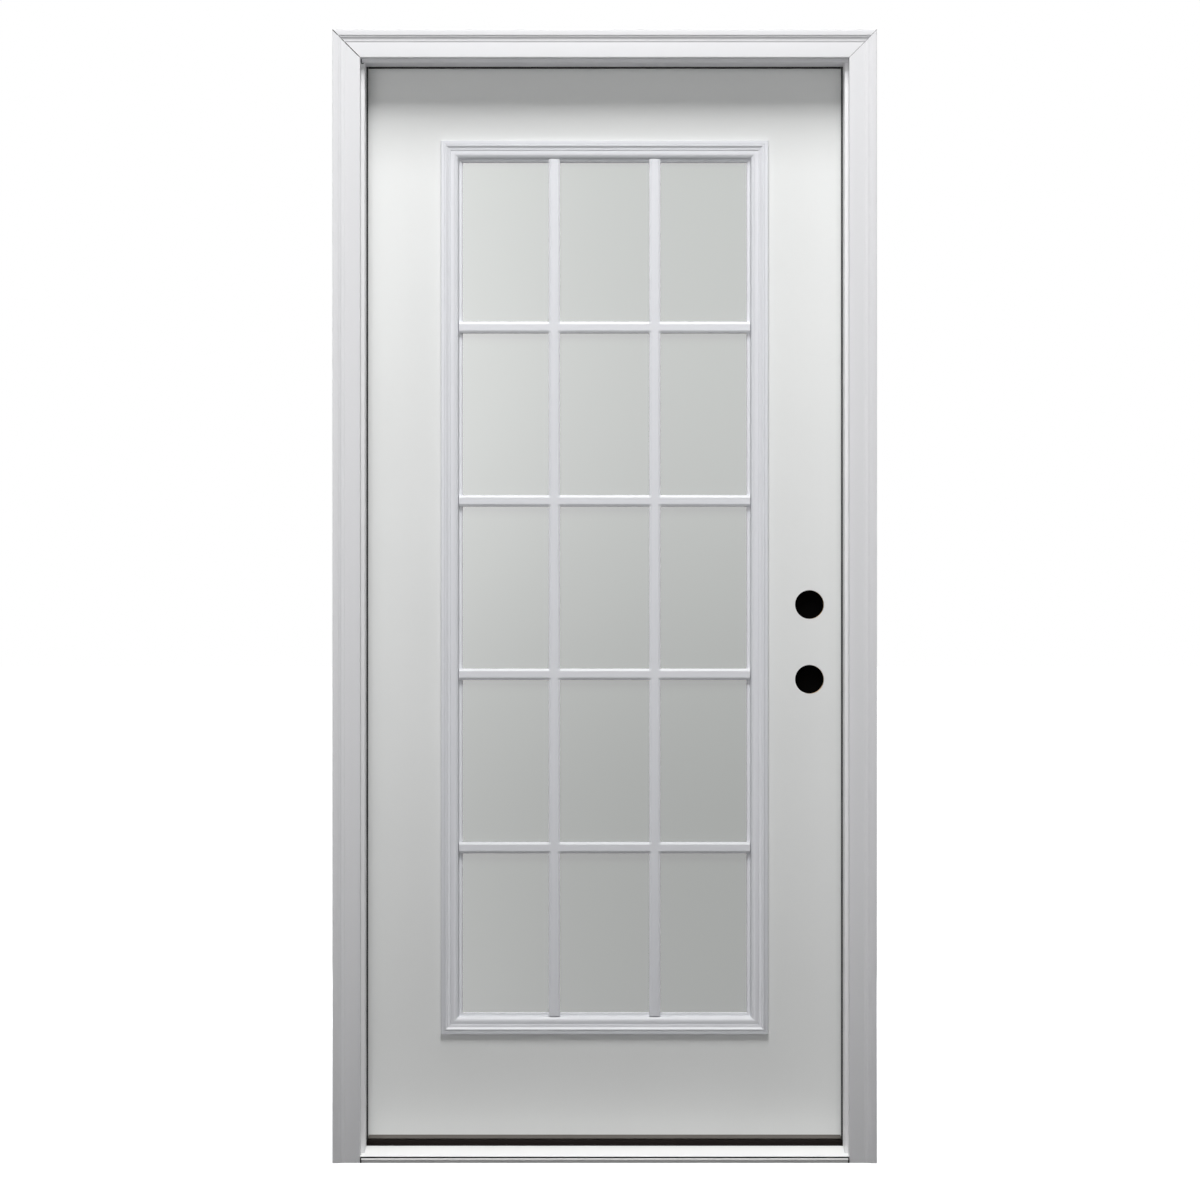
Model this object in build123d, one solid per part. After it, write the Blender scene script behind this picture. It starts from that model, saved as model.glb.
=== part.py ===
from build123d import *
from math import radians, tan
import os

# A steel entrance door hung in its frame, seen from outside when looking along +Y.
# Millimetres. x goes from the hinge side (-) to the lock side (+), y from outside (-) to inside (+),
# z up from the underside of the sill. y = 0 is the outer edge of the jambs, where the casing sits.

# Leaf
leaf_w = 908.0
leaf_h = 2006.6
leaf_t = 44.45
leaf_bottom = 37.5
skin_t = 0.6
skin_return = 8.0
lock_bevel = 3.0
stile_w = 35.0
rail_h = 60.0
block_w = 85.0
block_h = 330.0

# Frame round the leaf
edge_gap = 5.05
stop_lap = 9.5
jamb_depth = 115.9
jamb_t = 31.75
stop_gap = 12.7
arris_r = 1.6
kerf_w = 3.0
kerf_depth = 10.0
kerf_inset = 3.0
kerf_fit = 0.3

# Casing, with its profile measured inward from the outer edge
casing_w = 50.8
casing_t = 31.75
casing_reveal = 7.2
casing_flat_t = 25.4
casing_fillet_w = 9.3
casing_step_w = 1.9
casing_ledge_w = 2.2
casing_cove_w = 5.3
casing_bead_w = 1.9
casing_bead_h = 1.1
casing_ease_w = 3.7

# Sill
nose_back = 1.55
nose_lip_z = 7.6
nose_lip_w = 2.8
nose_lip_h = 1.8
nose_edge = 1.2
nose_groove_w = 3.0
nose_brow_h = 0.9
nose_end_gap = 2.0
tread_front_z = 12.4
tread_back_z = 20.8
tread_t = 1.6
cap_seat_z = 11.0
cap_inset = 3.3
cap_edge_r = 2.5
sill_clear = 0.3

# Seals
seal_nose = 3.0
seal_shoulder = 2.0
seal_back_w = 5.0
seal_clear = 0.35
seal_end_gap = 0.6
sweep_gap = 6.5
sweep_base_t = 1.8
sweep_fin_w = 2.2
sweep_fins = 4
sweep_inset = 6.0

# Glazed panel, set in from the leaf's edges
lite_from_side = 148.5
lite_from_bottom = 191.0
lite_from_top = 146.6
lite_face_w = 40.0
lite_lap = 15.0
lite_leg_w = 5.0
lite_leg_clear = 0.5
glass_clear = 3.4
glass_unit_t = 25.4
glass_t = 3.2
glazing_gap = 0.3
spacer_w = 11.0
grille_columns = 3
grille_rows = 5
bar_w = 21.0
bar_face_w = 12.0
bar_bevel_h = 2.2
bar_proud = 1.6

# Profile of the panel's surround, inward from its outer edge and up from the leaf
lip_w = 4.6
lip_h = 3.2
crest_in = 10.5
crest_h = 10.6
ogee_in = 16.5
ogee_h = 6.9
shelf_in = 20.0
shelf_h = 5.0
shelf_w = 6.2
hollow_w = 6.4
quirk_w = 0.8
quirk_h = 0.4
slope_foot = 1.2

# Lock and bolt preparation
bore_r = 26.99
backset = 69.85
latch_from_bottom = 854.0
bore_spacing = 139.7
edge_bore_r = 12.7
strike_bore_r = 11.11
faceplate_w = 25.4
faceplate_h = 57.15
faceplate_t = 3.2
strike_w = 28.6
strike_h = 57.15
strike_t = 1.6

# Hinges
hinge_h = 101.6
hinge_backset = 7.6
hinge_plate_t = 2.5
hinge_corner_r = 15.9
knuckle_r = 6.4
knuckle_out = 0.8
pin_r = 3.5
pin_clear = 0.05
pin_head_r = 5.6
pin_head_h = 3.2
knuckles = 5
knuckle_gap = 0.4
top_hinge_down = 228.6
low_hinge_up = 279.4

# Worked out from the sizes above
half_leaf = leaf_w / 2
leaf_top = leaf_bottom + leaf_h
y_in = jamb_depth
y_out = y_in - leaf_t
y_mid = y_in - leaf_t / 2
bevel_run = leaf_t * tan(radians(lock_bevel))
half_rabbet = half_leaf + edge_gap
half_clear = half_leaf - stop_lap
rabbet_t = jamb_t - edge_gap - stop_lap
half_frame = half_rabbet + rabbet_t
shoulder_y = y_out - stop_gap
head_rabbet_z = leaf_top + edge_gap
head_stop_z = leaf_top - stop_lap
frame_top = head_rabbet_z + rabbet_t
casing_in_x = half_clear + casing_reveal
casing_out_x = casing_in_x + casing_w
casing_in_z = head_stop_z + casing_reveal
casing_top = casing_in_z + casing_w
lock_edge_mid = half_leaf - bevel_run / 2
bore_x = lock_edge_mid - backset
latch_z = leaf_bottom + latch_from_bottom
bolt_z = latch_z + bore_spacing
nose_reach = casing_t - nose_back
cap_top_z = leaf_bottom - sweep_gap
hinge_x = -half_leaf - edge_gap / 2
hinge_y = y_in + knuckle_r + knuckle_out
hinge_low = leaf_bottom + low_hinge_up
hinge_high = leaf_top - top_hinge_down
hinge_levels = {"low": hinge_low, "middle": (hinge_low + hinge_high) / 2, "high": hinge_high}
lite_w = leaf_w - 2 * lite_from_side
lite_h = leaf_h - lite_from_bottom - lite_from_top
lite_mid_z = leaf_bottom + lite_from_bottom + lite_h / 2
cutout_w = lite_w - 2 * lite_lap
cutout_h = lite_h - 2 * lite_lap
glass_in = lite_lap + lite_leg_clear + lite_leg_w + glass_clear
glass_w = lite_w - 2 * glass_in
glass_h = lite_h - 2 * glass_in
glass_back = (leaf_t - glass_unit_t) / 2
quirk_in = shelf_in + shelf_w + hollow_w + quirk_w


def slab(x0, x1, y0, y1, z0, z1):
    """A block between two corners."""
    return Pos((x0 + x1) / 2, (y0 + y1) / 2, (z0 + z1) / 2) * Box(x1 - x0, y1 - y0, z1 - z0)


def outline(points):
    """A face inside a closed run of straight lines."""
    return make_face(Polyline(points, close=True))


def upright(face, z0, z1):
    """A plan face, drawn in x and y, raised from z0 to z1."""
    return extrude(Pos(0, 0, z0) * face, z1 - z0)


def level(face, x0, x1):
    """A section, drawn with y as its first axis and z as its second, run from x0 to x1."""
    return extrude(Plane.YZ.offset(x0) * face, x1 - x0)


def drill(x, y, z, radius, length, direction):
    """A cylinder that starts at a point and runs along a direction."""
    return extrude(Plane((x, y, z), z_dir=direction) * Circle(radius), length)


def mirrored(solid):
    """The same piece on the other side of the door."""
    return mirror(solid, about=Plane.YZ)


# Casing: an outer fillet, two small steps and a cove, then a wide flat beside the opening.
def casing_section():
    """Section with the outer edge at 0, inward positive, and the height above the wall."""
    top, flat = casing_t, casing_flat_t
    drop = top - flat
    bead = flat + casing_bead_h
    step = casing_fillet_w + casing_step_w
    ledge = step + casing_ledge_w
    cove = ledge + casing_cove_w
    ease = cove + casing_bead_w
    start = ease + casing_ease_w
    soft = arris_r * 0.29
    return make_face([
        Line((0, 0), (0, top - arris_r)),
        ThreePointArc((0, top - arris_r), (soft, top - soft), (arris_r, top)),
        Line((arris_r, top), (casing_fillet_w, top)),
        ThreePointArc(
            (casing_fillet_w, top),
            (step - casing_step_w * 0.3, top - drop * 0.1),
            (step, top - drop * 0.3),
        ),
        Line((step, top - drop * 0.3), (ledge, top - drop * 0.36)),
        ThreePointArc(
            (ledge, top - drop * 0.36),
            (ledge + casing_cove_w * 0.38, top - drop * 0.7),
            (cove, bead),
        ),
        Line((cove, bead), (ease, bead)),
        ThreePointArc(
            (ease, bead),
            (ease + casing_ease_w * 0.38, flat + casing_bead_h * 0.24),
            (start, flat),
        ),
        Line((start, flat), (casing_w - arris_r, flat)),
        ThreePointArc((casing_w - arris_r, flat), (casing_w - soft, flat - soft), (casing_w, flat - arris_r)),
        Line((casing_w, flat - arris_r), (casing_w, 0)),
        Line((casing_w, 0), (0, 0)),
    ])


def casing_leg():
    """Leg on the lock side, mitred at the top."""
    plan = Location(Plane((casing_out_x, 0, 0), x_dir=(-1, 0, 0), z_dir=(0, 0, 1))) * casing_section()
    leg = extrude(plan, casing_top)
    waste = Plane.XZ * outline([
        (casing_out_x, casing_top),
        (casing_in_x - casing_w, casing_top - 2 * casing_w),
        (casing_in_x - casing_w, casing_top),
    ])
    return leg - extrude(waste, casing_t + 1, both=True)


def casing_head():
    """Head, mitred at both ends."""
    plane = Plane((casing_out_x, 0, casing_top), x_dir=(0, 0, -1), z_dir=(-1, 0, 0))
    bar = extrude(Location(plane) * casing_section(), 2 * casing_out_x)
    keep = Plane.XZ * outline([
        (-casing_out_x, casing_top),
        (casing_out_x, casing_top),
        (casing_in_x, casing_in_z),
        (-casing_in_x, casing_in_z),
    ])
    return bar & extrude(keep, casing_t + 1, both=True)


# Sill: an aluminium tread over a solid body, with a channel that holds the dark cap.
channel_front = shoulder_y + cap_inset
channel_back = y_in - cap_inset


def sill_top():
    """Points of the tread's upper side, from the nose to the back edge, with a groove behind the lip."""
    lip = nose_lip_w - nose_reach
    groove = lip + nose_groove_w
    return [
        (nose_edge - nose_reach, 0),
        (nose_edge - nose_reach, nose_lip_z - nose_lip_h - nose_edge),
        (-nose_reach, nose_lip_z - nose_lip_h),
        (-nose_reach, nose_lip_z),
        (nose_edge - nose_reach, nose_lip_z + nose_edge * 0.8),
        (groove, nose_lip_z + nose_edge * 0.8),
        (groove, tread_front_z - nose_brow_h),
        (lip, tread_front_z - nose_brow_h),
        (lip, tread_front_z),
        (channel_front - tread_t, tread_back_z),
        (channel_front, tread_back_z),
        (channel_front, cap_seat_z),
        (channel_back, cap_seat_z),
        (channel_back, tread_back_z),
        (channel_back + tread_t, tread_back_z),
        (channel_back + tread_t, 0),
    ]


def sill_body_section():
    """What lies under the tread, one tread thickness below its upper side."""
    lip = nose_lip_w - nose_reach
    front = lip + nose_groove_w + tread_t
    back = channel_front - tread_t
    slope = (tread_back_z - tread_front_z) / (back - lip)
    under = cap_seat_z - tread_t
    return outline([
        (front, 0),
        (front, tread_front_z + slope * (front - lip) - tread_t),
        (back, tread_back_z - tread_t),
        (back, under),
        (channel_back, under),
        (channel_back, 0),
    ])


def between_casings(solid):
    """Cuts a sill piece back where it passes the casing legs."""
    for side in (-1, 1):
        outer = side * (half_frame + 1)
        inner = side * (casing_in_x - sill_clear)
        solid -= slab(min(outer, inner), max(outer, inner), -nose_reach - 1, sill_clear, -1, 2 * cap_top_z)
    return solid


def sill_tread():
    """Tread whose lip stops a little short of the casing legs."""
    body = sill_body_section()
    tread = between_casings(level(outline(sill_top()) - body, -half_frame, half_frame))
    groove = nose_lip_w + nose_groove_w - nose_reach
    lip_end = casing_in_x - sill_clear - nose_end_gap
    for side in (-1, 1):
        low, high = min(side * lip_end, side * casing_in_x), max(side * lip_end, side * casing_in_x)
        tread -= slab(low, high, -nose_reach - 1, groove, -1, tread_front_z - nose_brow_h)
    return tread


def sill_body():
    return between_casings(level(sill_body_section(), -half_frame, half_frame))


def sill_space():
    """The room that the sill takes under the jambs."""
    section = outline([
        (-nose_reach, -1),
        (nose_lip_w - nose_reach, tread_front_z),
        (channel_front - tread_t, tread_back_z),
        (y_in + 1, tread_back_z),
        (y_in + 1, -1),
    ])
    return level(section, -half_frame - 1, half_frame + 1)


def threshold_cap():
    """Dark cap under the leaf, with rounded top edges."""
    front, back = channel_front + sill_clear, channel_back - sill_clear
    section = outline([
        (front, cap_seat_z + sill_clear),
        (front, cap_top_z),
        (back, cap_top_z),
        (back, cap_seat_z + sill_clear),
    ])
    corners = section.vertices().group_by(Axis.Y)[-1]
    return level(fillet(corners, cap_edge_r), -half_rabbet + seal_end_gap, half_rabbet - seal_end_gap)


# Jambs: a thick outer part that is the stop, and a thin inner part beside the leaf.
kerf_x = half_rabbet - kerf_inset


def jamb_section():
    """Jamb on the lock side in plan, with the seal's kerf in the stop's shoulder."""
    face = outline([
        (half_clear, 0),
        (half_frame, 0),
        (half_frame, y_in),
        (half_rabbet, y_in),
        (half_rabbet, shoulder_y),
        (kerf_x, shoulder_y),
        (kerf_x, shoulder_y - kerf_depth),
        (kerf_x - kerf_w, shoulder_y - kerf_depth),
        (kerf_x - kerf_w, shoulder_y),
        (half_clear, shoulder_y),
    ])
    arris = [v for v in face.vertices() if v.X < half_clear + 0.1]
    return fillet(arris, arris_r)


def side_jamb():
    """Jamb on the lock side, without holes."""
    thick = upright(jamb_section(), 0, head_stop_z)
    thin = slab(half_rabbet, half_frame, shoulder_y, y_in, head_stop_z - 1, head_rabbet_z)
    return thick + thin - sill_space()


def head_jamb():
    """The same section lying across the top of both side jambs."""
    rise = head_stop_z - half_clear
    plane = Plane((-half_frame, 0, rise), x_dir=(0, 0, 1), z_dir=(-1, 0, 0))
    return extrude(Location(plane) * jamb_section(), -2 * half_frame)


def lock_jamb():
    """Jamb with a shallow seat and a bolt hole for each strike."""
    jamb = side_jamb()
    for z in (latch_z, bolt_z):
        seat = slab(half_rabbet - 1, half_rabbet + strike_t, y_mid - strike_w / 2, y_mid + strike_w / 2,
                    z - strike_h / 2, z + strike_h / 2)
        jamb -= seat
        jamb -= drill(half_rabbet - 1, y_mid, z, strike_bore_r, rabbet_t + 2, (1, 0, 0))
    return jamb


def hinge_jamb():
    """Jamb with a seat for each hinge plate."""
    jamb = mirrored(side_jamb())
    for z in hinge_levels.values():
        jamb -= hinge_plate(z, -1)
    return jamb


# Seals: a bulb with a leg in the jamb's kerf, on three sides.
def seal_bulb():
    """Bulb on the lock side in plan, between the stop's shoulder and the leaf's face."""
    nose = half_clear - seal_nose
    front = half_clear + seal_shoulder
    back = half_rabbet - seal_end_gap
    far_back = back - seal_back_w
    near, far = shoulder_y + seal_clear / 2, y_out - seal_clear
    middle = (near + far) / 2
    return make_face([
        Line((back, near), (front, near)),
        ThreePointArc((front, near), (nose, middle), (front, far)),
        Line((front, far), (far_back, far)),
        ThreePointArc(
            (far_back, far),
            (back - seal_back_w * 0.25, middle + seal_back_w * 0.25),
            (back, near),
        ),
    ])


def seal_leg():
    """Leg in the kerf, in plan."""
    inner, outer = kerf_x - kerf_w + kerf_fit, kerf_x - kerf_fit
    tip = shoulder_y - kerf_depth + 2 * kerf_fit
    return outline([(inner, shoulder_y + 1), (outer, shoulder_y + 1), (outer, tip), (inner, tip)])


def side_seal():
    """Seal on the lock side: its leg stops under the head jamb's stop, the bulb goes on up."""
    low = cap_top_z + seal_end_gap
    bulb = upright(seal_bulb(), low, head_rabbet_z - seal_end_gap)
    return bulb + upright(seal_leg(), low, head_stop_z - seal_end_gap)


def head_seal():
    """Between the side seals."""
    rise = head_stop_z - half_clear
    end = half_clear - seal_nose - seal_end_gap
    plane = Plane((-end, 0, rise), x_dir=(0, 0, 1), z_dir=(-1, 0, 0))
    return extrude(Location(plane) * (seal_bulb() + seal_leg()), -2 * end)


# Leaf: two steel skins folded round a wooden rim, with foam between.
def leaf_plan():
    """Leaf in plan, with its bevelled lock edge."""
    return outline([
        (-half_leaf, y_out),
        (half_leaf - bevel_run, y_out),
        (half_leaf, y_in),
        (-half_leaf, y_in),
    ])


def lite_cutout():
    """Opening through the leaf for the glazed panel."""
    return slab(-cutout_w / 2, cutout_w / 2, y_out - 1, y_in + 1,
                lite_mid_z - cutout_h / 2, lite_mid_z + cutout_h / 2)


def lock_holes():
    """Two bores through the leaf, each met by a bore and a faceplate seat from the lock edge."""
    holes = []
    for z in (latch_z, bolt_z):
        seat_x = lock_edge_mid - faceplate_t
        holes.append(drill(bore_x, y_out - 1, z, bore_r, leaf_t + 2, (0, 1, 0)))
        holes.append(drill(bore_x, y_mid, z, edge_bore_r, half_leaf + 1 - bore_x, (1, 0, 0)))
        holes.append(slab(seat_x, half_leaf + 1, y_mid - faceplate_w / 2, y_mid + faceplate_w / 2,
                          z - faceplate_h / 2, z + faceplate_h / 2))
    return holes


def hinge_seats():
    return [hinge_plate(z, 1) for z in hinge_levels.values()]


def less(solid, cutters):
    for cutter in cutters:
        solid -= cutter
    return solid


def skin(outside):
    """Steel sheet on one face, with its upright edges folded back round the rim."""
    sheet = leaf_plan() - offset(leaf_plan(), -skin_t, kind=Kind.INTERSECTION)
    zone = (y_out - 1, y_out + skin_return) if outside else (y_in - skin_return, y_in + 1)
    band = outline([
        (-half_leaf - 1, zone[0]), (half_leaf + 1, zone[0]),
        (half_leaf + 1, zone[1]), (-half_leaf - 1, zone[1]),
    ])
    return upright(sheet & band, leaf_bottom, leaf_top)


def make_leaf():
    """The skins, the rim, the lock block and the foam, each cut round what passes through it."""
    outer, inner = skin(True), skin(False)
    fill = upright(leaf_plan(), leaf_bottom, leaf_top) - outer - inner
    rim_in = half_leaf - stile_w
    rail_low, rail_high = leaf_bottom + rail_h, leaf_top - rail_h
    block_mid = (latch_z + bolt_z) / 2
    beyond = half_leaf + 1
    block_z = (block_mid - block_h / 2, block_mid + block_h / 2)

    def part_of(x0, x1, z0, z1):
        return fill & slab(x0, x1, y_out - 1, y_in + 1, z0, z1)

    block = part_of(rim_in - block_w, rim_in, *block_z)
    pieces = {
        "outer_skin": outer,
        "inner_skin": inner,
        "hinge_stile": part_of(-beyond, -rim_in, leaf_bottom, leaf_top),
        "lock_stile": part_of(rim_in, beyond, leaf_bottom, leaf_top),
        "top_rail": part_of(-rim_in, rim_in, rail_high, leaf_top),
        "bottom_rail": part_of(-rim_in, rim_in, leaf_bottom, rail_low),
        "lock_block": block,
        "foam_core": part_of(-rim_in, rim_in, rail_low, rail_high) - block - lite_cutout(),
    }
    for name in ("outer_skin", "inner_skin"):
        pieces[name] = less(pieces[name], [lite_cutout()] + lock_holes() + hinge_seats())
    for name in ("lock_stile", "lock_block"):
        pieces[name] = less(pieces[name], lock_holes())
    pieces["hinge_stile"] = less(pieces["hinge_stile"], hinge_seats())
    return pieces


def door_sweep():
    """Strip of soft fins under the leaf that close the gap to the sill cap."""
    front, back = y_out + sweep_fin_w, y_in - sweep_fin_w
    pitch = (back - front - sweep_fin_w) / (sweep_fins - 1)
    top, base, tip = leaf_bottom, leaf_bottom - sweep_base_t, cap_top_z + seal_clear
    section = outline([(front, top), (back, top), (back, base), (front, base)])
    for number in range(sweep_fins):
        y = front + number * pitch
        section += outline([
            (y, base + sweep_base_t / 2), (y + sweep_fin_w, base + sweep_base_t / 2),
            (y + sweep_fin_w * 0.8, tip), (y + sweep_fin_w * 0.2, tip),
        ])
    return level(section, -half_leaf + sweep_inset, half_leaf - bevel_run - sweep_inset)


# Glazed panel: a moulded surround on each face, clamped together through the cutout.
def surround_section():
    """Outer edge at 0 and inward positive, height above the leaf's face."""
    glass_at = glazing_gap - glass_back
    foot = lite_lap + lite_leg_clear
    half = glazing_gap / 2 - leaf_t / 2
    shelf_end = shelf_in + shelf_w
    hollow_end = shelf_end + hollow_w
    return make_face([
        Line((0, 0), (0, lip_h * 0.56)),
        ThreePointArc((0, lip_h * 0.56), (lip_w * 0.47, lip_h), (lip_w, lip_h * 0.84)),
        ThreePointArc(
            (lip_w, lip_h * 0.84),
            (crest_in * 0.68, crest_h * 0.52),
            (crest_in * 0.88, crest_h * 0.93),
        ),
        ThreePointArc(
            (crest_in * 0.88, crest_h * 0.93),
            (crest_in, crest_h),
            (crest_in * 1.14, crest_h * 0.95),
        ),
        ThreePointArc(
            (crest_in * 1.14, crest_h * 0.95),
            (crest_in * 0.49 + ogee_in * 0.51, crest_h * 0.24 + ogee_h * 0.76),
            (ogee_in, ogee_h),
        ),
        ThreePointArc(
            (ogee_in, ogee_h),
            (ogee_in * 0.4 + shelf_in * 0.6, ogee_h * 0.67 + shelf_h * 0.33),
            (shelf_in, shelf_h),
        ),
        Line((shelf_in, shelf_h), (shelf_end, shelf_h)),
        ThreePointArc(
            (shelf_end, shelf_h),
            (shelf_end + hollow_w * 0.6, shelf_h * 0.69),
            (hollow_end, quirk_h * 2),
        ),
        Line((hollow_end, quirk_h * 2), (quirk_in, quirk_h)),
        Line((quirk_in, quirk_h), (lite_face_w, glass_at + slope_foot)),
        Line((lite_face_w, glass_at + slope_foot), (lite_face_w, glass_at)),
        Line((lite_face_w, glass_at), (foot + lite_leg_w, glass_at)),
        Line((foot + lite_leg_w, glass_at), (foot + lite_leg_w, half)),
        Line((foot + lite_leg_w, half), (foot, half)),
        Line((foot, half), (foot, 0)),
        Line((foot, 0), (0, 0)),
    ])


def surround_side(across, along):
    """One mitred member of the outer surround, at the top of a panel of the given size."""
    plane = Plane((across / 2, y_out, along / 2), x_dir=(0, 0, -1), z_dir=(-1, 0, 0))
    bar = extrude(Location(plane) * surround_section(), across)
    deep = lite_face_w + 1
    keep = Plane.XZ.offset(-y_out) * outline([
        (-across / 2, along / 2),
        (across / 2, along / 2),
        (across / 2 - deep, along / 2 - deep),
        (deep - across / 2, along / 2 - deep),
    ])
    return bar & extrude(keep, leaf_t, both=True)


def surround():
    """Four mitred members in one moulding, on the outer face."""
    level_side = surround_side(lite_w, lite_h)
    upright_side = surround_side(lite_h, lite_w)
    ring = level_side + Rot(0, 180, 0) * level_side
    ring += Rot(0, 90, 0) * upright_side
    ring += Rot(0, -90, 0) * upright_side
    return Pos(0, 0, lite_mid_z) * ring


def bar_section():
    """Grille bar seen from its end: upright sides, bevels and a flat face."""
    back = glazing_gap - glass_back
    return outline([
        (-bar_w / 2, back),
        (-bar_w / 2, bar_proud - bar_bevel_h),
        (-bar_face_w / 2, bar_proud),
        (bar_face_w / 2, bar_proud),
        (bar_w / 2, bar_proud - bar_bevel_h),
        (bar_w / 2, back),
    ])


def grille():
    """Upright and level bars at even shares of the glass, reaching over the surround's slope."""
    half_w = lite_w / 2 - quirk_in
    half_h = lite_h / 2 - quirk_in
    stand = Plane((0, y_out, half_h), x_dir=(1, 0, 0), z_dir=(0, 0, -1))
    lie = Plane((-half_w, y_out, 0), x_dir=(0, 0, 1), z_dir=(1, 0, 0))
    upright_bar = extrude(Location(stand) * bar_section(), 2 * half_h)
    level_bar = extrude(Location(lie) * bar_section(), 2 * half_w)
    pitch_x, pitch_z = glass_w / grille_columns, glass_h / grille_rows
    bars = [Pos((n - grille_columns / 2) * pitch_x, 0, 0) * upright_bar for n in range(1, grille_columns)]
    bars += [Pos(0, 0, (n - grille_rows / 2) * pitch_z) * level_bar for n in range(1, grille_rows)]
    return Pos(0, 0, lite_mid_z) * bars[0].fuse(*bars[1:])


def glass_pane():
    """Outer pane of the sealed unit."""
    face_y = y_out + glass_back
    return slab(-glass_w / 2, glass_w / 2, face_y, face_y + glass_t,
                lite_mid_z - glass_h / 2, lite_mid_z + glass_h / 2)


def glass_spacer():
    """Bar that holds the two panes apart, all round their edge."""
    front = y_out + glass_back + glass_t
    back = y_in - glass_back - glass_t
    solid = slab(-glass_w / 2, glass_w / 2, front, back, lite_mid_z - glass_h / 2, lite_mid_z + glass_h / 2)
    hole_w, hole_h = glass_w / 2 - spacer_w, glass_h / 2 - spacer_w
    return solid - slab(-hole_w, hole_w, front - 1, back + 1, lite_mid_z - hole_h, lite_mid_z + hole_h)


def inside(solid):
    """The same piece on the inner face of the leaf."""
    return mirror(solid, about=Plane.XZ.offset(-y_mid))


# Hinges: two plates with interlocking knuckles on one pin.
def hinge_plate(z, side):
    """Plate beside the gap, on the leaf's side (1) or the jamb's (-1), to the pin's line."""
    near = hinge_x + side * edge_gap / 2
    low, high = min(near, near + side * hinge_plate_t), max(near, near + side * hinge_plate_t)
    plate = slab(low, high, y_out + hinge_backset, hinge_y, z - hinge_h / 2, z + hinge_h / 2)
    return fillet(plate.edges().filter_by(Axis.X).group_by(Axis.Y)[0], hinge_corner_r)


def hinge_half(z, side, numbers):
    """A plate with its own knuckles, notched for the other half's and bored for the pin."""
    step = hinge_h / knuckles
    bottom = z - hinge_h / 2
    reach = knuckle_r + knuckle_gap
    half = hinge_plate(z, side)
    for number in range(knuckles):
        low = bottom + number * step
        if number in numbers:
            trim_low = knuckle_gap / 2 if number else 0
            trim_high = knuckle_gap / 2 if number < knuckles - 1 else 0
            half += drill(hinge_x, hinge_y, low + trim_low, knuckle_r, step - trim_low - trim_high, (0, 0, 1))
        else:
            half -= slab(hinge_x - reach, hinge_x + reach, hinge_y - reach, hinge_y + reach,
                         low - knuckle_gap / 2, low + step + knuckle_gap / 2)
    return half - drill(hinge_x, hinge_y, bottom - 1, pin_r + pin_clear, hinge_h + 2, (0, 0, 1))


def hinge_pin(z):
    """Pin with a button on the highest knuckle, flush with the lowest."""
    low = z - hinge_h / 2
    high = z + hinge_h / 2 + knuckle_gap
    pin = drill(hinge_x, hinge_y, low, pin_r, high - low, (0, 0, 1))
    return pin + drill(hinge_x, hinge_y, high, pin_head_r, pin_head_h, (0, 0, 1))


def all_pieces():
    """Every piece of the door by name."""
    leg = casing_leg()
    pieces = {
        "casing_lock_side": leg,
        "casing_hinge_side": mirrored(leg),
        "casing_head": casing_head(),
        "lock_jamb": lock_jamb(),
        "hinge_jamb": hinge_jamb(),
        "head_jamb": head_jamb(),
        "sill_tread": sill_tread(),
        "sill_body": sill_body(),
        "threshold_cap": threshold_cap(),
        "lock_side_seal": side_seal(),
        "hinge_side_seal": mirrored(side_seal()),
        "head_seal": head_seal(),
        "door_sweep": door_sweep(),
        "glass_spacer": glass_spacer(),
        "outer_glass": glass_pane(),
        "inner_glass": inside(glass_pane()),
    }
    pieces.update(make_leaf())
    outer_surround = surround()
    outer_grille = grille() - outer_surround
    pieces["outer_surround"] = outer_surround
    pieces["inner_surround"] = inside(outer_surround)
    pieces["outer_grille"] = outer_grille
    pieces["inner_grille"] = inside(outer_grille)
    jamb_knuckles = range(0, knuckles, 2)
    door_knuckles = range(1, knuckles, 2)
    for place, z in hinge_levels.items():
        pieces[f"jamb_hinge_plate_{place}"] = hinge_half(z, -1, jamb_knuckles)
        pieces[f"door_hinge_plate_{place}"] = hinge_half(z, 1, door_knuckles)
        pieces[f"hinge_pin_{place}"] = hinge_pin(z)
    return pieces


os.makedirs("parts", exist_ok=True)
for piece_name, piece in all_pieces().items():
    export_step(piece, f"parts/{piece_name}.step")
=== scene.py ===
"""Dresses, lights and frames a prehung steel front door with a tall glazed panel."""

import logging
import math
from dataclasses import dataclass
from enum import Enum
from typing import Iterable, Sequence

import bpy
import numpy as np
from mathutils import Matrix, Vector


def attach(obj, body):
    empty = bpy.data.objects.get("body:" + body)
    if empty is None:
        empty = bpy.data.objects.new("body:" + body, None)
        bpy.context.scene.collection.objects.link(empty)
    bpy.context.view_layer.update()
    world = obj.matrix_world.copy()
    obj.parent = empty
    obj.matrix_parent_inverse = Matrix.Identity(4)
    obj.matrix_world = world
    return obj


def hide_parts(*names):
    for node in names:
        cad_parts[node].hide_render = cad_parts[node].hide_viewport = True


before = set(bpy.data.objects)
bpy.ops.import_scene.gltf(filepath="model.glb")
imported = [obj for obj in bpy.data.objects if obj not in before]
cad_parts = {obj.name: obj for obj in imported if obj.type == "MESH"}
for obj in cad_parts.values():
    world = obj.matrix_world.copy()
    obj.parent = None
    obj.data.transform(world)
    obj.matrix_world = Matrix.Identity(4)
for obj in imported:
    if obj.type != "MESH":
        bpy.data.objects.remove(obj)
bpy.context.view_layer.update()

MM = 0.001
IMAGE_SIZE = 1200
# A quarter round's middle stands off both sides of its corner by this share of its radius.
ROUND_OFF = 0.29
log = logging.getLogger("door")

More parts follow.
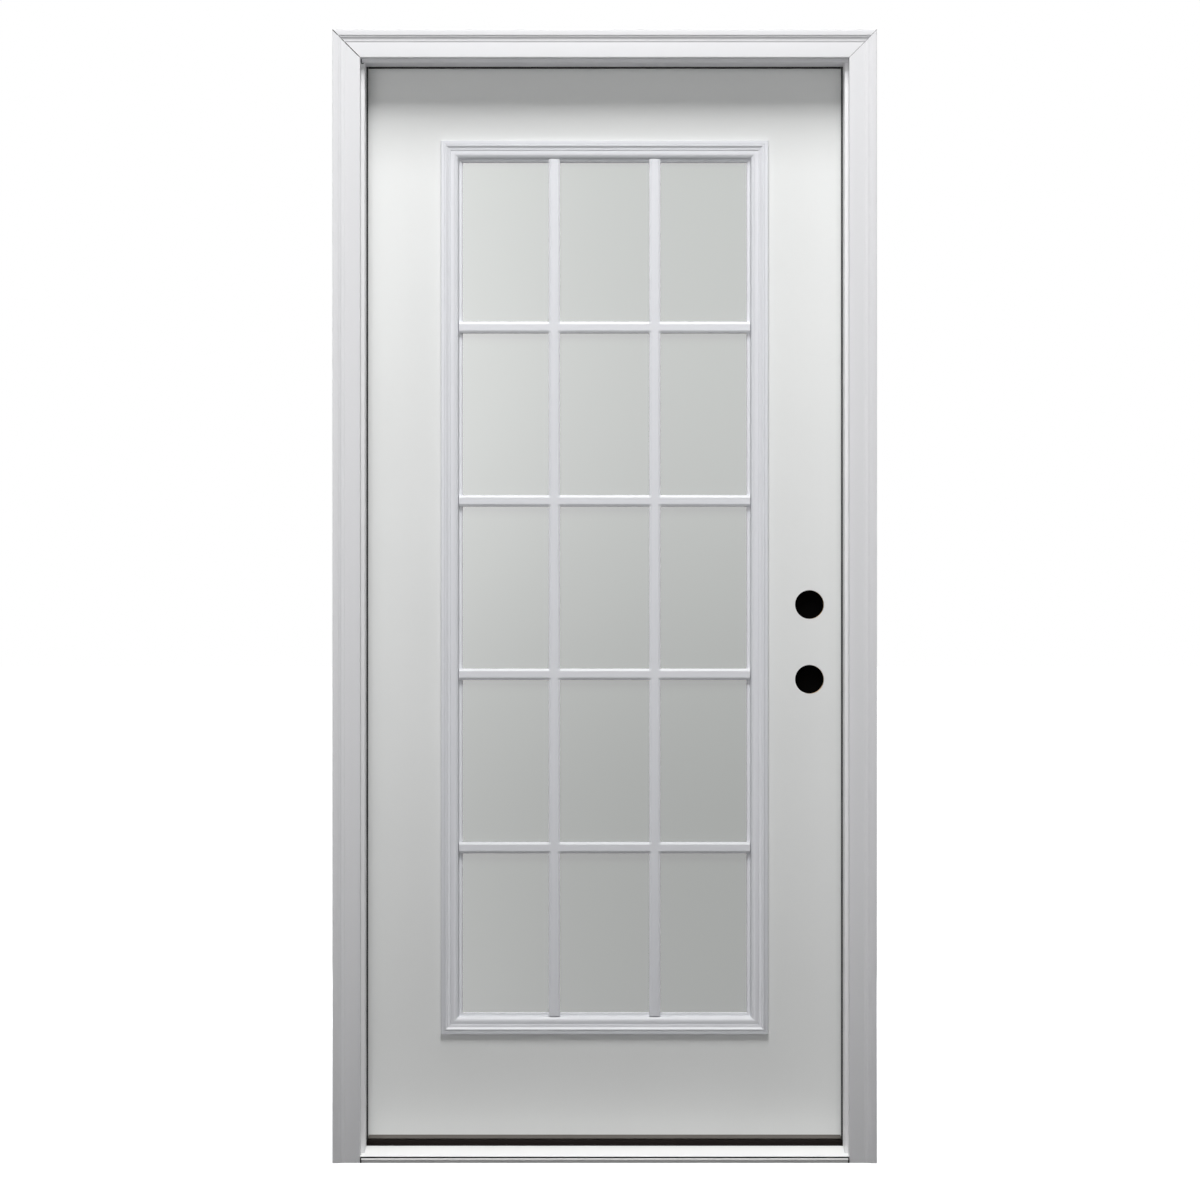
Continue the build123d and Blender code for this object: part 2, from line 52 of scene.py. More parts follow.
Pair = tuple[float, float]
Triple = tuple[float, float, float]
Move = Sequence[Pair]
Tree = bpy.types.NodeTree
Node = bpy.types.Node
Socket = bpy.types.NodeSocket
Value = float | tuple[float, ...] | Node | Socket
Inputs = dict[str, Value]


class Body(Enum):
    """CAD bodies that a piece can ride on."""

    FRAME = "frame"
    DOOR = "door"


class Side(Enum):
    """Side of the door seen from outside, as the sign of its x."""

    HINGE = -1
    LOCK = 1


class Face(Enum):
    """Face of the leaf, as the sign of the outward direction along y."""

    OUTER = -1
    INNER = 1


class Grain(Enum):
    """Direction that a grain or an extrusion's lines run in, as a stretch of each axis."""

    ACROSS = (0.03, 1.0, 1.0)
    UPRIGHT = (1.0, 1.0, 0.03)


def linear(colour: str) -> tuple[float, float, float, float]:
    """Turns an sRGB hex colour into linear red, green, blue and alpha.

    A channel up to 0.04045 is divided by 12.92; above that 0.055 is added, the sum is divided by
    1.055 and raised to 2.4.

    Args:
        colour: Six hex digits after a hash.

    Returns:
        The linear colour with an alpha of 1.
    """
    codes = np.array([int(colour[i:i + 2], 16) for i in (1, 3, 5)]) / 255
    values = np.where(codes <= 0.04045, codes / 12.92, ((codes + 0.055) / 1.055) ** 2.4)
    return (*values.tolist(), 1.0)


def per_metre(size_mm: float) -> float:
    """Texture scale at which one feature of a pattern is size_mm across."""
    return 1 / (size_mm * MM)


def empty_tree(owner: bpy.types.Material | bpy.types.World) -> Tree:
    """The node tree of a material or a world, with nothing in it."""
    owner.use_nodes = True
    owner.node_tree.nodes.clear()
    return owner.node_tree


def new_object(name: str, data: bpy.types.ID) -> bpy.types.Object:
    """An object at the origin, linked into the scene."""
    made = bpy.data.objects.new(name, data)
    bpy.context.collection.objects.link(made)
    return made


def add(tree: Tree, kind: str, inputs: dict | None = None, **settings: object) -> Node:
    """Adds a node with its settings, input values and links.

    Args:
        tree: The node tree.
        kind: The node's class name in Blender, without the words that every one starts with.
        inputs: Socket name or number to a value, to an output socket, or to a node for its first output.
        **settings: Properties of the node.

    Returns:
        The new node.
    """
    node = tree.nodes.new(f"ShaderNode{kind}")
    for name, setting in settings.items():
        setattr(node, name, setting)
    for name, value in (inputs or {}).items():
        source = value.outputs[0] if isinstance(value, Node) else value
        if isinstance(source, Socket):
            tree.links.new(source, node.inputs[name])
        else:
            node.inputs[name].default_value = source
    return node


def ramp(value: Value, start: float, end: float, low: float = 0.0, high: float = 1.0) -> Inputs:
    """Inputs that take a value from between start and end to between low and high."""
    return {"Value": value, "From Min": start, "From Max": end, "To Min": low, "To Max": high}


@dataclass(frozen=True)
class Finish:
    """A surface finish with a pattern of its own.

    The pattern takes the colour towards the shade, raises the surface by up to depth_mm, and moves
    the roughness from one end of gloss_swing to the other. A grain stretches it one way.
    """

    name: str
    colour: str
    roughness: float
    metallic: float = 0.0
    shine: float = 0.5
    shade: str = "#FFFFFF"
    grain: Grain | None = None
    tone_mm: float = 0.0
    relief_mm: float = 1.0
    details: Pair = (2.0, 2.0)
    depth_mm: float = 0.01
    gloss_swing: Pair | None = None

    def pattern(self, tree: Tree, place: Socket) -> tuple[Value | None, Value]:
        """Adds the pattern's own nodes: one noise for the tone, if it has a size, and one for the height.

        Args:
            tree: The material's node tree.
            place: Position on the object in metres, stretched by the grain.

        Returns:
            The way from the colour to the shade or None, and the height, each from 0 to 1.
        """
        return tuple(
            add(tree, "TexNoise", {"Vector": place, "Scale": per_metre(size), "Detail": detail})
            if size else None for size, detail in zip((self.tone_mm, self.relief_mm), self.details))

    def extras(self) -> Inputs:
        """Further inputs of the shader."""
        return {}

    def material(self) -> bpy.types.Material:
        """The finish's material, made the first time that it is asked for."""
        found = bpy.data.materials.get(self.name)
        if found:
            return found
        material = bpy.data.materials.new(self.name)
        tree = empty_tree(material)
        place = add(tree, "TexCoord").outputs["Object"]
        if self.grain:
            place = add(tree, "Mapping", {"Vector": place, "Scale": self.grain.value}).outputs[0]
        way, height = self.pattern(tree, place)
        inputs = {"Base Color": linear(self.colour), "Roughness": self.roughness, "Metallic": self.metallic,
                  "Specular IOR Level": self.shine}
        if way:
            ends = {0: way, 6: linear(self.colour), 7: linear(self.shade)}
            inputs["Base Color"] = add(tree, "Mix", ends, data_type="RGBA").outputs[2]
        if self.gloss_swing:
            low, high = (self.roughness + change for change in self.gloss_swing)
            inputs["Roughness"] = add(tree, "MapRange", ramp(height, 0.0, 1.0, low, high))
        inputs["Normal"] = add(tree, "Bump", {"Height": height, "Distance": self.depth_mm * MM})
        shader = add(tree, "BsdfPrincipled", inputs | self.extras())
        add(tree, "OutputMaterial", {"Surface": shader})
        return material


@dataclass(frozen=True)
class BakedPrimer(Finish):
    """Coil-coated primer on galvanised sheet: a fine orange peel under broad, faint clouds of tone."""

    shade: str = "#E0E1E0"
    tone_mm: float = 310.0
    relief_mm: float = 2.6
    depth_mm: float = 0.012
    gloss_swing: Pair | None = (-0.04, 0.06)


@dataclass(frozen=True)
class PrimedTimber(Finish):
    """White primer over planed pine: brush-free, with wide bands of tone and the fibres just raised."""

    grain: Grain | None = Grain.UPRIGHT
    tone_mm: float = 22.0
    relief_mm: float = 1.4
    details: Pair = (1.0, 3.0)
    depth_mm: float = 0.03
    gloss_swing: Pair | None = (-0.05, 0.05)


@dataclass(frozen=True)
class MouldedPlastic(Finish):
    """Injection-moulded polymer: an even colour with the fine grit of a textured mould."""

    relief_mm: float = 0.9
    depth_mm: float = 0.008
    gloss_swing: Pair | None = (-0.05, 0.05)


@dataclass(frozen=True)
class CoatedGlass(Finish):
    """Insulating glass, coated: grey in itself, and bright with what its panes and coating throw back.

    Float glass isn't dead flat: a broad ripple bends its sheen and shifts its tone a little.
    """

    shade: str = "#626A63"
    tone_mm: float = 420.0
    relief_mm: float = 420.0
    depth_mm: float = 0.2
    clearness: float = 0.05
    coat: float = 1.0
    index: float = 2.0

    def extras(self) -> Inputs:
        """The coating, and the little that it lets through."""
        return {"Transmission Weight": self.clearness, "IOR": self.index, "Coat Weight": self.coat,
                "Coat Roughness": self.roughness}


@dataclass(frozen=True)
class DrawnMetal(Finish):
    """Extruded or brushed metal: fine lines run one way and break up its reflections."""

    grain: Grain | None = Grain.ACROSS
    relief_mm: float = 0.7
    depth_mm: float = 0.006
    gloss_swing: Pair | None = (-0.1, 0.1)


@dataclass(frozen=True)
class BareSoftwood(Finish):
    """Planed pine: pale wood between darker, wavy rings, with fine fibres along the grain."""

    shade: str = "#A87B45"
    grain: Grain | None = Grain.UPRIGHT
    relief_mm: float = 0.8
    details: Pair = (2.0, 3.0)
    depth_mm: float = 0.06
    wave_mm: float = 140.0
    wobble: float = 6.0
    wobble_scale: float = 1.5

    def pattern(self, tree: Tree, place: Socket) -> tuple[Value | None, Value]:
        """A distorted wave is the rings' tone, and drawn-out noise the fibres' height."""
        ring = add(tree, "TexWave", {
            "Vector": place, "Scale": per_metre(self.wave_mm), "Distortion": self.wobble,
            "Detail": self.details[0], "Detail Scale": self.wobble_scale})
        return ring.outputs["Fac"], super().pattern(tree, place)[1]


@dataclass(frozen=True)
class CellFoam(Finish):
    """Foam or foamed rubber: closed cells pit a matt surface.

    The colour is the pits' own, and the shade that of the walls between them.
    """

    relief_mm: float = 1.1
    depth_mm: float = 0.2

    def pattern(self, tree: Tree, place: Socket) -> tuple[Value | None, Value]:
        """Distance to the nearest cell's middle is both the tone and the height."""
        cell = add(tree, "TexVoronoi", {"Vector": place, "Scale": per_metre(self.relief_mm)})
        return cell.outputs["Distance"], cell.outputs["Distance"]


# Primer dries to a pale, slightly green white with a low sheen.
PRIMED_STEEL = BakedPrimer("baked_primer_on_steel", "#E7E8E7", 0.46)
# Timber primer is a colder white than the leaf's, and a little duller.
PRIMED_LEG = PrimedTimber("white_primer_on_pine_upright", "#E0E0E2", 0.52, shade="#DBDBDD")
PRIMED_HEAD = PrimedTimber("white_primer_on_pine_level", "#DFDFE1", 0.52, shade="#DADADC", grain=Grain.ACROSS)
# The jambs took a thicker coat, which is brighter.
PRIMED_JAMB = PrimedTimber("thick_white_primer_on_pine", "#E9E9EA", 0.5, shade="#E4E4E5")
# The surround is moulded in a bluish white, smoother than the primer around it.
WHITE_POLYMER = MouldedPlastic("moulded_white_polymer", "#DDDEE2", 0.42)
# A hard coating of high index on the outer face reflects several times what bare glass does, and iron
# makes the glass a little green.
COATED_GLASS = CoatedGlass("coated_insulating_glass", "#666E67", 0.03, shine=1.0)
SPACER = DrawnMetal("mill_aluminium_spacer", "#B9BBBD", 0.4, metallic=1.0)
# The tread is pale and nearly white in the light, so its metal is frosted.
FROSTED_ALUMINIUM = DrawnMetal("frosted_extruded_aluminium", "#FAFAF9", 0.5, metallic=0.08)
# The cap is dark bronze, and its colour is taken near black besides, as painted shade for the shadow that it
# lies in under the leaf.
BRONZE_CAP = MouldedPlastic("dark_bronze_and_painted_shade", "#140E0C", 0.65, shine=0.1)
SEAL_SKIN = CellFoam("foam_seal_with_dark_skin", "#0C0B0B", 0.62, shade="#141313", depth_mm=0.04, relief_mm=0.9)
GREY_VINYL = MouldedPlastic("grey_vinyl_sweep", "#77726C", 0.5)
# A dark strip in the groove behind the sill's lip is painted shade: it stands for the shadow under the brow.
GROOVE_SHADE = MouldedPlastic("painted_shade_in_sill_groove", "#2E2D2D", 0.6, shine=0.2)
PINE_UPRIGHT = BareSoftwood("planed_pine_upright", "#D2AE7A", 0.6)
PINE_LEVEL = BareSoftwood("planed_pine_level", "#D2AE7A", 0.6, grain=Grain.ACROSS)
RIGID_FOAM = CellFoam("rigid_polyurethane_foam", "#8F8358", 0.85, shade="#E6DCA8")
SATIN_NICKEL = DrawnMetal("satin_nickel_plate", "#B0ACA4", 0.34, metallic=1.0, grain=Grain.UPRIGHT)
# A near-black, pitted disc down each bore is painted shade: it stands for the dark inside the hole.
BORE_SHADE = CellFoam("painted_shade_in_bore", "#020202", 1.0, shade="#060606", depth_mm=0.4, shine=0.05)
# A near-black strip in each open joint is painted shadow: it stands for the shade down in the gap, not for bare
# wood.
JOINT_SHADOW = BareSoftwood("painted_shadow_in_open_joint", "#1F1D1B", 0.9, shade="#171513", shine=0.1)


def arc(start: Pair, middle: Pair, end: Pair, steps: int = 8) -> np.ndarray:
    """Points on the circle through three points.

    The centre is equally far from all three, which is two linear equations. The points go round it
    in even steps from the start to the end, on the side where the middle lies.

    Args:
        start: First point.
        middle: A point between them.
        end: Last point.
        steps: Number of chords.

    Returns:
        steps + 1 points by 2.
    """
    first, mid, last = (np.array(point, dtype=float) for point in (start, middle, end))
    chords = 2 * np.array([mid - first, last - first])
    centre = np.linalg.solve(chords, np.array([mid @ mid - first @ first, last @ last - first @ first]))
    spokes = np.array([first, mid, last]) - centre
    angles = np.arctan2(spokes[:, 1], spokes[:, 0])
    to_mid, to_end = (angles[1:] - angles[0]) % (2 * np.pi)
    sweep = to_end if to_mid < to_end else to_end - 2 * np.pi
    turned = angles[0] + np.linspace(0, sweep, steps + 1)
    return centre + np.hypot(*spokes[0]) * np.column_stack([np.cos(turned), np.sin(turned)])


def section(start: Pair, *moves: Move, steps: int = 8) -> np.ndarray:
    """Closed section, drawn from point to point.

    Args:
        start: First point.
        *moves: The point that a straight line goes to, or for an arc a point on its way and its end.
            The last move ends at the start.
        steps: Chords in each arc.

    Returns:
        Points by 2, the first not repeated at the end.
    """
    here, points = start, []
    for *way, there in moves:
        points.append(arc(here, way[0], there, steps)[:-1] if way else np.array([here], dtype=float))
        here = there
    return np.vstack(points)


@dataclass(frozen=True)
class Shell:
    """A closed surface: points by 3 in millimetres, and faces as lists of point numbers."""

    points: np.ndarray
    faces: list[list[int]]

    @classmethod
    def through(cls, rings: np.ndarray, looped: bool = False) -> "Shell":
        """Surface carried through rings of points.

        Point j of ring i is joined to point j + 1 of the same ring, round to the first, and to point
        j of ring i + 1. The end rings are its caps, or it runs on from the last to the first.

        Args:
            rings: Stations by points by 3.
            looped: True if the last ring joins the first.

        Returns:
            The shell, its faces turned outwards.
        """
        stations, count, _ = rings.shape
        index = np.arange(stations * count).reshape(stations, count)
        near = index if looped else index[:-1]
        far = np.roll(index, -1, axis=0) if looped else index[1:]
        quads = np.stack([near, np.roll(near, -1, axis=1), np.roll(far, -1, axis=1), far], axis=-1)
        faces = quads.reshape(-1, 4).tolist()
        if not looped:
            faces += [index[0, ::-1].tolist(), index[-1].tolist()]
        return cls(rings.reshape(-1, 3), faces).outwards()

    @classmethod
    def relief(cls, across: np.ndarray, along: np.ndarray, top: np.ndarray, base: np.ndarray,
               filled: np.ndarray) -> "Shell":
        """Solid between two heights over the filled cells of a grid.

        Every grid point stands at its top height and again at its base height. A filled cell has a
        face at both, and a wall stands on each of its edges whose other cell is empty.

        Args:
            across: First coordinate of the grid's lines.
            along: Second coordinate of the grid's lines.
            top: Height at each grid point.
            base: Height under each grid point.
            filled: True for each cell that is solid.

        Returns:
            The shell in first coordinate, height and second coordinate, turned outwards.
        """
        first, second = np.meshgrid(across, along, indexing="ij")
        sheets = [np.stack([first, level, second], axis=-1).reshape(-1, 3) for level in (top, base)]
        points = np.concatenate(sheets)
        index = np.arange(first.size).reshape(first.shape)
        corners = np.stack([index[:-1, :-1], index[1:, :-1], index[1:, 1:], index[:-1, 1:]], axis=-1)
        low = first.size
        faces = [corners[filled], corners[filled][:, ::-1] + low]
        ringed = np.pad(filled, 1)
        for edge, beside in (((0, 1), ringed[1:-1, :-2]), ((1, 2), ringed[2:, 1:-1]),
                             ((2, 3), ringed[1:-1, 2:]), ((3, 0), ringed[:-2, 1:-1])):
            open_edge = corners[filled & ~beside][:, edge]
            faces.append(np.hstack([open_edge[:, ::-1], open_edge + low]))
        stacked = np.vstack(faces)
        used, renumbered = np.unique(stacked, return_inverse=True)
        return cls(points[used], renumbered.reshape(stacked.shape).tolist()).outwards()

    def outwards(self) -> "Shell":
        """The shell with its faces turned outwards: the volume that they enclose is positive.

        Each face is a fan of triangles, and the volume is a sixth of the sum of their triple products.
        """
        fans = [(face[0], face[i], face[i + 1]) for face in self.faces for i in range(1, len(face) - 1)]
        a, b, c = (self.points[list(corner)] for corner in zip(*fans))
        if np.einsum("ij,ij->", a, np.cross(b, c)) >= 0:
            return self
        return Shell(self.points, [face[::-1] for face in self.faces])


def run_along_x(outline: np.ndarray, start: float, end: float) -> Shell:
    """A section in y and z run along x from one place to another.

    Args:
        outline: Points by 2.
        start: First x.
        end: Last x.

    Returns:
        The shell.
    """
    rings = [np.column_stack([np.full(len(outline), x), outline]) for x in (start, end)]
    return Shell.through(np.stack(rings))


def make_piece(name: str, shells: Sequence[Shell], finish: Finish, body: Body, slot: str,
               replaces: Sequence[str] = (), crease_deg: float = 28.0, arris_mm: float = 0.0) -> None:
    """Puts shells into one object at the origin, dresses it and sets it on its body.

    Args:
        name: The object's name.
        shells: Closed surfaces in millimetres.
        finish: Its finish.
        body: The CAD body that carries it.
        slot: The record's material slot; not used.
        replaces: CAD nodes that it stands for.
        crease_deg: Edges that turn by more than this stay sharp.
        arris_mm: Width by which its sharp edges are softened, or 0.
    """
    starts = np.cumsum([0] + [len(shell.points) for shell in shells[:-1]])
    points = np.vstack([shell.points for shell in shells]) * MM
    faces = [[int(start) + corner for corner in face] for start, shell in zip(starts, shells)
             for face in shell.faces]
    mesh = bpy.data.meshes.new(name)
    mesh.from_pydata(points.tolist(), [], faces)
    mesh.validate()
    mesh.shade_smooth()
    mesh.set_sharp_from_angle(angle=math.radians(crease_deg))
    mesh.materials.append(finish.material())
    piece = new_object(name, mesh)
    if arris_mm:
        bevel = piece.modifiers.new("arris", "BEVEL")
        bevel.width = arris_mm * MM
        bevel.segments = 2
        bevel.limit_method = "ANGLE"
        bevel.angle_limit = math.radians(crease_deg)
        bevel.harden_normals = True
    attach(piece, body.value)
    if replaces:
        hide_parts(*replaces)
    log.info("%s: %d faces on %s", name, len(faces), body.value)


def dress(nodes: Iterable[str], finish: Finish) -> None:
    """Gives CAD nodes a finish.

    Args:
        nodes: Names of CAD nodes.
        finish: The finish for all of them.
    """
    for name in nodes:
        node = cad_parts[name]
        node.data.materials.clear()
        node.data.materials.append(finish.material())
        log.info("%s: %s", name, finish.name)


@dataclass(frozen=True)
class Casing:
    """Moulded timber casing round the outside of the frame: two legs and a head, mitred."""

    outer_x: float = 502.5
    top_z: float = 2092.6
    width: float = 50.8
    depth: float = 31.75
    flat_depth: float = 25.4
    fillet_w: float = 9.3
    step_w: float = 1.9
    step_turn: float = 0.3
    step_fall: Pair = (0.1, 0.3)
    ledge_w: float = 2.2
    ledge_fall: float = 0.36
    cove_w: float = 5.3
    cove_fall: float = 0.7
    bead_w: float = 1.9
    bead_h: float = 1.1
    ease_w: float = 3.7
    ease_rise: float = 0.24
    hollow_mid: float = 0.38
    arris_r: float = 1.6
    soft_edge: float = 0.35
    gap_w: float = 1.5
    lock_gap_w: float = 0.6
    gap_proud: float = 0.06
    gap_depth: float = 0.6

    def profile(self) -> np.ndarray:
        """Section: inward from the outer edge, and height off the wall.

        The falls are shares of the drop from the fillet's top to the flat.
        """
        top, flat = self.depth, self.flat_depth
        drop = top - flat
        bead = flat + self.bead_h
        step = self.fillet_w + self.step_w
        ledge = step + self.ledge_w
        cove = ledge + self.cove_w
        ease = cove + self.bead_w
        start = ease + self.ease_w
        soft = self.arris_r * ROUND_OFF
        edge = self.width - self.arris_r
        step_mid, step_end, ledge_end, cove_mid = (
            top - drop * fall for fall in (*self.step_fall, self.ledge_fall, self.cove_fall))
        return section(
            (0, 0),
            [(0, top - self.arris_r)],
            [(soft, top - soft), (self.arris_r, top)],
            [(self.fillet_w, top)],
            [(step - self.step_w * self.step_turn, step_mid), (step, step_end)],
            [(ledge, ledge_end)],
            [(ledge + self.cove_w * self.hollow_mid, cove_mid), (cove, bead)],
            [(ease, bead)],
            [(ease + self.ease_w * self.hollow_mid, flat + self.bead_h * self.ease_rise), (start, flat)],
            [(edge, flat)],
            [(self.width - soft, flat - soft), (self.width, flat - self.arris_r)],
            [(self.width, 0)],
            [(0, 0)],
        )

    def leg(self, side: Side) -> Shell:
        """Section carried from the floor up to the mitre, where height is the top less the inward way."""
        inward, height = self.profile().T
        x = side.value * (self.outer_x - inward)
        foot = np.column_stack([x, -height, np.zeros_like(x)])
        mitre = np.column_stack([x, -height, self.top_z - inward])
        return Shell.through(np.stack([foot, mitre]))

    def head(self) -> Shell:
        """Section carried from mitre to mitre."""
        inward, height = self.profile().T
        ends = [(side * (self.outer_x - inward), -height, self.top_z - inward) for side in (-1, 1)]
        return Shell.through(np.array(ends).transpose(0, 2, 1))

    def open_joint(self, side: Side, gap_w: float) -> Shell:
        """Thin strip of painted shadow in the mitre, from the outer edge over the face to the inner edge.

        It follows the section's front on the mitre plane, half its width to each side of it.
        """
        inward, height = self.profile().T
        front = slice(1, int(np.argmax(inward)) + 2)
        inward, height = inward[front], height[front]
        half, over, under = gap_w / 2 / math.sqrt(2), self.gap_proud, -self.gap_depth
        rings = [
            (side.value * (self.outer_x - inward + sign * half), -height - lift,
             self.top_z - inward - sign * half)
            for sign, lift in ((-1, over), (1, over), (1, under), (-1, under))
        ]
        return Shell.through(np.array(rings).transpose(2, 0, 1))

    def build(self) -> None:
        """Makes the three boards, and a strip of painted shadow in each of the two joints between them."""
        for name, board, finish, node in (
                ("hinge_side_leg", self.leg(Side.HINGE), PRIMED_LEG, "casing_hinge_side"),
                ("lock_side_leg", self.leg(Side.LOCK), PRIMED_LEG, "casing_lock_side"),
                ("casing_top", self.head(), PRIMED_HEAD, "casing_head")):
            make_piece(name, [board], finish, Body.FRAME, "primed_wood", [node], arris_mm=self.soft_edge)
        for name, side, gap_w in (("hinge_side_mitre_shadow", Side.HINGE, self.gap_w),
                                  ("lock_side_mitre_shadow", Side.LOCK, self.lock_gap_w)):
            make_piece(name, [self.open_joint(side, gap_w)], JOINT_SHADOW, Body.FRAME, "raw_wood")


@dataclass(frozen=True)
class Jambs:
    """Rabbeted frame round the leaf, with the butt joint at each top corner."""

    casing_in_x: float = 451.7
    clear_x: float = 444.5
    casing_in_z: float = 2041.8
    stop_z: float = 2034.6
    arris_r: float = 1.6
    gap_w: float = 1.5
    gap_proud: float = 0.05
    gap_depth: float = 0.4

    def joint(self, side: Side) -> Shell:
        """Strip of painted shadow on the jambs' outer edge: down beside the casing, then across under the head
        jamb.
        """
        line = np.array([(self.casing_in_x, self.casing_in_z), (self.casing_in_x, self.stop_z),
                         (self.clear_x + self.arris_r, self.stop_z)])
        corner = np.array([(1.0, 0.0), (1.0, 1.0), (0.0, 1.0)]) * self.gap_w
        inner = line - corner
        over, under = self.gap_proud, -self.gap_depth
        rings = [(side.value * edge[:, 0], np.full(len(line), -lift), edge[:, 1])
                 for edge, lift in ((line, over), (inner, over), (inner, under), (line, under))]
        return Shell.through(np.array(rings).transpose(2, 0, 1))

    def build(self) -> None:
        """Dresses the three jambs and marks the joint on the hinge side."""
        dress(("lock_jamb", "hinge_jamb"), PRIMED_JAMB)
        dress(("head_jamb",), PRIMED_HEAD)
        # The joint is marked by a near-black strip of painted shadow.
        make_piece("hinge_side_jamb_joint_shadow", [self.joint(Side.HINGE)], JOINT_SHADOW, Body.FRAME, "raw_wood")


@dataclass(frozen=True)
class Sill:
    """Extruded aluminium tread over a wooden body, with a dark cap in its channel, darkened further with
    painted shade.
    """

    half_width: float = 476.25
    half_nose: float = 451.4
    half_lip: float = 449.4
    casing_y: float = 0.3
    nose_y: float = -30.2
    nose_edge: float = 1.2
    lip_z: float = 7.6
    lip_top: float = 8.56
    lip_h: float = 1.8
    lip_back: float = -27.4
    groove_back: float = -24.4
    strip_front: float = -26.8
    turned_front: float = -28.8
    brow_z: float = 11.5
    front_z: float = 12.4
    back_z: float = 20.8
    thickness: float = 1.6
    seat_z: float = 11.0
    channel_front: float = 62.05
    channel_back: float = 112.6
    rib_pitch: float = 4.2
    rib_h: float = 0.35
    rib_points: int = 8

    def ribbed_slope(self) -> np.ndarray:
        """The slope's upper side as y and z, from behind the lip to the channel.

        Its height is the straight line's, less a rib's height times half of one minus the cosine of
        the way along it in pitches.
        """
        start, end = self.lip_back, self.channel_front - self.thickness
        run = np.linspace(start, end, int((end - start) / self.rib_pitch * self.rib_points) + 1)
        line = np.interp(run, (start, end), (self.front_z, self.back_z))
        ribs = 0.5 * (1 - np.cos(2 * np.pi * (run - start) / self.rib_pitch))
        return np.column_stack([run, line - self.rib_h * ribs])

    def nosing(self) -> np.ndarray:
        """Section of the nose: undercut below the lip, and the groove behind it under the brow."""
        nose, groove, under = self.nose_y, self.groove_back, self.lip_z - self.lip_h
        back = groove + self.thickness
        return np.array([
            (groove, 0), (groove, under), (nose, under), (nose, self.lip_z),
            (nose + self.nose_edge, self.lip_top), (groove, self.lip_top), (groove, self.brow_z),
            (back, self.brow_z), (back, 0),
        ])

    def strip(self, front: float, low: float) -> np.ndarray:
        """Section of a strip of painted shade in the nose's groove, from its front and its lower side."""
        back, high = self.groove_back, self.brow_z
        return np.array([(front, low), (front, high), (back, high), (back, low)])

    def plate(self, behind_casing: bool) -> np.ndarray:
        """Section of the plate over the sill, all of it or the part behind the casing's back."""
        slope = self.ribbed_slope()
        lip, back = self.lip_back, self.channel_front - self.thickness
        end, under = self.channel_back + self.thickness, self.seat_z - self.thickness
        if behind_casing:
            front = self.casing_y
            slope = np.vstack([(front, np.interp(front, *slope.T)), slope[slope[:, 0] > front]])
            over = np.interp(front, (lip, back), (self.front_z, self.back_z))
            front_edge = [(front, over - self.thickness)]
        else:
            front_edge = [(self.groove_back + self.thickness, self.brow_z), (lip, self.brow_z)]
        return np.vstack([
            slope,
            (self.channel_front, self.back_z), (self.channel_front, self.seat_z),
            (self.channel_back, self.seat_z), (self.channel_back, self.back_z),
            (end, self.back_z), (end, 0), (self.channel_back, 0), (self.channel_back, under),
            (back, under), (back, self.back_z - self.thickness),
            *front_edge,
        ])

    def tread(self) -> list[Shell]:
        """The nosing between the casing legs, the plate over it, and the plate's ends behind them."""
        ends = self.plate(True)
        return [
            run_along_x(self.nosing(), -self.half_lip, self.half_lip),
            run_along_x(self.plate(False), -self.half_nose, self.half_nose),
            *(run_along_x(ends, side * self.half_nose, side * self.half_width) for side in (-1, 1)),
        ]

    def build(self) -> None:
        """Makes the tread, with a strip of painted shade in its groove that turns down at the nose's ends, and
        dresses what it carries.
        """
        make_piece("ribbed_tread", self.tread(), FROSTED_ALUMINIUM, Body.FRAME, "mill_aluminium",
                   ["sill_tread"])
        strips = [run_along_x(self.strip(self.strip_front, self.lip_top), -self.half_lip, self.half_lip)]
        turned = self.strip(self.turned_front, 0)
        strips += [run_along_x(turned, side * self.half_lip, side * self.half_nose) for side in (-1, 1)]
        make_piece("nose_groove_shade", strips, GROOVE_SHADE, Body.FRAME, "seal_rubber")
        dress(("sill_body",), PINE_LEVEL)
        dress(("threshold_cap",), BRONZE_CAP)


@dataclass(frozen=True)
class WeatherSeals:
    """Bulb seals in the jambs' kerfs, and the sweep under the leaf with its flap over the skin's edge."""

    sweep_ends: Pair = (-448.0, 445.67)
    sweep_y: Pair = (73.65, 113.7)
    sweep_z: Pair = (31.35, 37.4)
    fins: int = 5
    fin_w: float = 3.2
    fin_draft: float = 0.4
    web_h: float = 2.2
    flap_half: float = 440.9
    flap_y: Pair = (70.6, 71.42)
    flap_z: Pair = (33.4, 40.6)
    flap_bead: float = 0.7
    flap_bead_h: float = 2.2
    flap_ease: Pair = (0.3, 0.4)

    def sweep(self) -> np.ndarray:
        """Section of the sweep: a web under the leaf, with fins down to its lowest level."""
        (front, back), (low, high) = self.sweep_y, self.sweep_z
        starts = np.linspace(front, back - self.fin_w, self.fins)
        web = high - self.web_h
        across = starts[:, None] + np.array([0, self.fin_draft, self.fin_w - self.fin_draft, self.fin_w])
        levels = np.tile((web, low, low, web), (self.fins, 1))
        teeth = np.column_stack([across.ravel(), levels.ravel()])
        return np.vstack([[(back, high), (front, high)], teeth])

    def flap(self) -> np.ndarray:
        """Section of the flap on the skin: flat, with a bead along its upper edge."""
        (face, back), (low, high) = self.flap_y, self.flap_z
        ease, ease_h = self.flap_ease
        bead = high - self.flap_bead_h
        return section(
            (back, low),
            [(face + ease, low)],
            [(face, low + ease_h)],
            [(face, bead)],
            [(face - self.flap_bead, (bead + high) / 2), (face, high)],
            [(back, high)],
            [(back, low)],
        )

    def build(self) -> None:
        """Dresses the seals and makes the sweep."""
        dress(("lock_side_seal", "hinge_side_seal", "head_seal"), SEAL_SKIN)
        flap = run_along_x(self.flap(), -self.flap_half, self.flap_half)
        shells = [run_along_x(self.sweep(), *self.sweep_ends), flap]
        make_piece("finned_sweep", shells, GREY_VINYL, Body.DOOR, "seal_rubber", ["door_sweep"])


